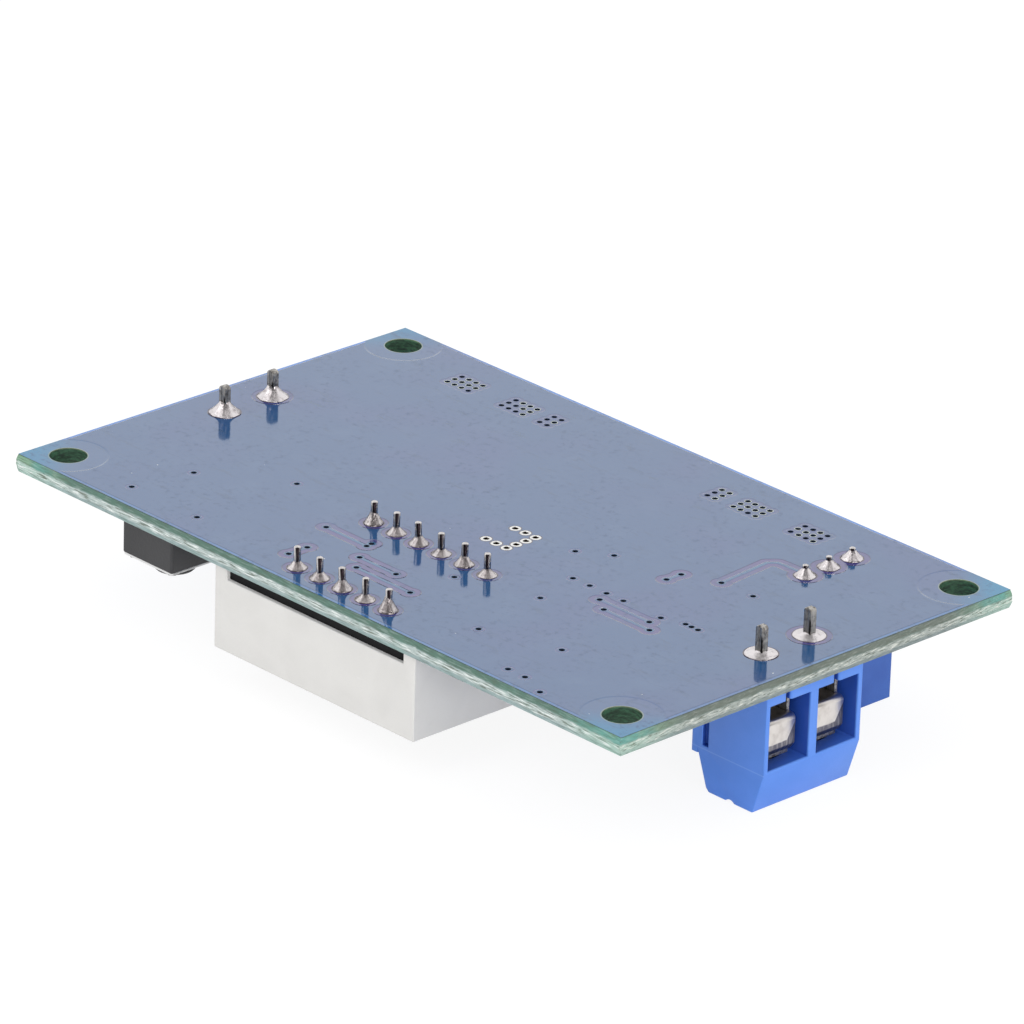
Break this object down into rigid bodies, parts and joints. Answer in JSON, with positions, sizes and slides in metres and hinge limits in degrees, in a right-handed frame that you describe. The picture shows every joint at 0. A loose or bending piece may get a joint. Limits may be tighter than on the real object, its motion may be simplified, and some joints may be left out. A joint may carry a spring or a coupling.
{
  "type": "boost converter module",
  "caption": "Small voltage converter board with screw terminals, digit display, push button and trimmer, solder side up.",
  "frame": {"origin": "centre of the four corner holes, on the solder side face of the board", "axes": "+X along the board's length towards the output terminal, +Y across it away from the display's edge, +Z out of the solder side; the module rests on the tops of its screw terminals"},
  "size_m": [0.0678, 0.0412, 0.014],
  "materials": {
    "board": "glossy blue mask",
    "solder": "bright tin",
    "tinned": "tinned metal",
    "pale_plastic": "fine matte",
    "dark_resin": "poured resin",
    "face_film": "smooth film",
    "light_bar": "milky resin",
    "terminal_blue": "moulded nylon",
    "plated_steel": "bright plating",
    "trimmer_blue": "moulded",
    "brass": "turned brass",
    "white_ceramic": "fired ceramic",
    "black_plastic": "moulded",
    "spring_steel": "rolled",
    "ferrite": "sintered ferrite",
    "copper": "enamelled wire",
    "aluminium": "drawn can",
    "chip_tan": "ceramic",
    "lens": "clear resin"
  },
  "bodies": {
    "module": {"button_base": "black_plastic", "button_contacts": "tinned", "button_cover": "plated_steel", "button_dome": "spring_steel", "capacitor_bases": "black_plastic", "capacitor_cans": "aluminium", "capacitor_leads": "tinned", "chip_capacitor_ends": "tinned", "chip_capacitors": "chip_tan", "chip_resistor_ends": "tinned", "chip_resistors": "black_plastic", "circuit_board": "board", "converter_body": "black_plastic", "converter_legs": "tinned", "converter_tab": "tinned", "display_bars": "light_bar", "display_face": "face_film", "display_filling": "dark_resin", "display_housing": "pale_plastic", "display_pins": "tinned", "display_solder": "solder", "driver_body": "black_plastic", "driver_legs": "tinned", "inductor_base": "black_plastic", "inductor_clips": "tinned", "inductor_core": "ferrite", "inductor_sleeve": "ferrite", "inductor_winding": "copper", "input_contacts": "tinned", "input_housing": "terminal_blue", "input_solder": "solder", "light_bases": "white_ceramic", "light_lenses": "lens", "output_contacts": "tinned", "output_housing": "terminal_blue", "output_solder": "solder", "rectifier_body": "black_plastic", "rectifier_legs": "tinned", "regulator_body": "black_plastic", "regulator_legs": "tinned", "trimmer_housing": "trimmer_blue", "trimmer_pins": "tinned", "trimmer_seal": "dark_resin", "trimmer_solder": "solder", "trimmer_strip": "white_ceramic"},
    "button_plunger": {"button_plunger": "black_plastic"},
    "trimmer_screw": {"trimmer_screw": "brass"},
    "trimmer_wheel": {"trimmer_wheel": "black_plastic"},
    "output_clamp_1": {"output_leaf_1": "plated_steel"},
    "output_screw_1": {"output_screw_1": "plated_steel"},
    "output_clamp_2": {"output_leaf_2": "plated_steel"},
    "output_screw_2": {"output_screw_2": "plated_steel"},
    "input_clamp_1": {"input_leaf_1": "plated_steel"},
    "input_screw_1": {"input_screw_1": "plated_steel"},
    "input_clamp_2": {"input_leaf_2": "plated_steel"},
    "input_screw_2": {"input_screw_2": "plated_steel"}
  },
  "joints": [
    {"name": "button_press", "type": "slide", "parent": "module", "child": "button_plunger", "axis": [0, 0, 1], "range_m": [0, 0.00025], "stiffness_N_per_m": 6000, "springref_m": -0.00005, "deforming": ["button_dome"]},
    {"name": "trimmer_turn", "type": "hinge", "parent": "module", "child": "trimmer_screw", "pos_m": [0.0229, 0.00991, -0.0105], "axis": [0, 0, 1], "range_deg": [-4500, 4500]},
    {"name": "wiper_turn", "type": "hinge", "parent": "module", "child": "trimmer_wheel", "pos_m": [0.022, 0.01351, -0.00662], "axis": [1, 0, 0], "range_deg": [-145, 145]},
    {"name": "output_clamp_1_slide", "type": "slide", "parent": "module", "child": "output_clamp_1", "axis": [0, 0, 1], "range_m": [-0.00045, 0.0012]},
    {"name": "output_screw_1_turn", "type": "hinge", "parent": "output_clamp_1", "child": "output_screw_1", "pos_m": [0.02988, -0.00232, -0.0095], "axis": [0, 0, 1], "range_deg": [-360, 960]},
    {"name": "output_clamp_2_slide", "type": "slide", "parent": "module", "child": "output_clamp_2", "axis": [0, 0, 1], "range_m": [-0.00045, 0.0012]},
    {"name": "output_screw_2_turn", "type": "hinge", "parent": "output_clamp_2", "child": "output_screw_2", "pos_m": [0.02988, 0.00276, -0.0095], "axis": [0, 0, 1], "range_deg": [-360, 960]},
    {"name": "input_clamp_1_slide", "type": "slide", "parent": "module", "child": "input_clamp_1", "axis": [0, 0, 1], "range_m": [-0.00045, 0.0012]},
    {"name": "input_screw_1_turn", "type": "hinge", "parent": "input_clamp_1", "child": "input_screw_1", "pos_m": [-0.02979, 0.00249, -0.0095], "axis": [0, 0, 1], "range_deg": [-360, 960]},
    {"name": "input_clamp_2_slide", "type": "slide", "parent": "module", "child": "input_clamp_2", "axis": [0, 0, 1], "range_m": [-0.00045, 0.0012]},
    {"name": "input_screw_2_turn", "type": "hinge", "parent": "input_clamp_2", "child": "input_screw_2", "pos_m": [-0.02979, -0.00259, -0.0095], "axis": [0, 0, 1], "range_deg": [-360, 960]}
  ],
  "couplings": [
    {"joint": "wiper_turn", "follows": "trimmer_turn", "ratio": 0.032},
    {"joint": "output_screw_1_turn", "follows": "output_clamp_1_slide", "rad_per_m": 13962},
    {"joint": "output_screw_2_turn", "follows": "output_clamp_2_slide", "rad_per_m": 13962},
    {"joint": "input_screw_1_turn", "follows": "input_clamp_1_slide", "rad_per_m": 13962},
    {"joint": "input_screw_2_turn", "follows": "input_clamp_2_slide", "rad_per_m": 13962}
  ]
}
